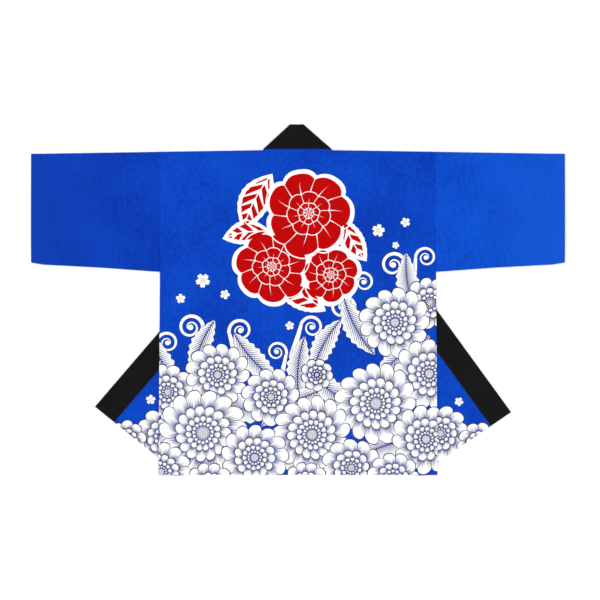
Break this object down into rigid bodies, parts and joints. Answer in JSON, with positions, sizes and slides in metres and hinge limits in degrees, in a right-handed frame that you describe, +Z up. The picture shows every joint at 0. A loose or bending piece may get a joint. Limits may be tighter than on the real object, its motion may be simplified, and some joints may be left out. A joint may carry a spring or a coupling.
{
  "type": "happi coat",
  "caption": "Short straight-cut cotton coat with wide sleeves and a sewn-on collar band, laid out flat with its back upwards and both fronts turned back under it.",
  "frame": {"origin": "middle of the coat's outline, on the surface that it lies on", "axes": "+X towards the wearer's right sleeve, which is on the right of the picture; +Y from the hem to the neck; +Z up through the back of the coat"},
  "size_m": [1.302, 0.8574, 0.0064],
  "materials": {
    "back_cotton": "matt plain-woven cotton, dyed blue, with a printed design",
    "front_cotton": "matt plain-woven cotton, dyed blue, with a printed hem",
    "sleeve_cotton": "matt plain-woven cotton, dyed blue",
    "collar_twill": "matt black cotton, doubled over a firm core"
  },
  "bodies": {
    "root": {"back": "back_cotton", "front_left": "front_cotton", "front_right": "front_cotton", "collar_left": "collar_twill", "collar_right": "collar_twill", "sleeve_left": "sleeve_cotton", "sleeve_right": "sleeve_cotton"}
  },
  "joints": []
}
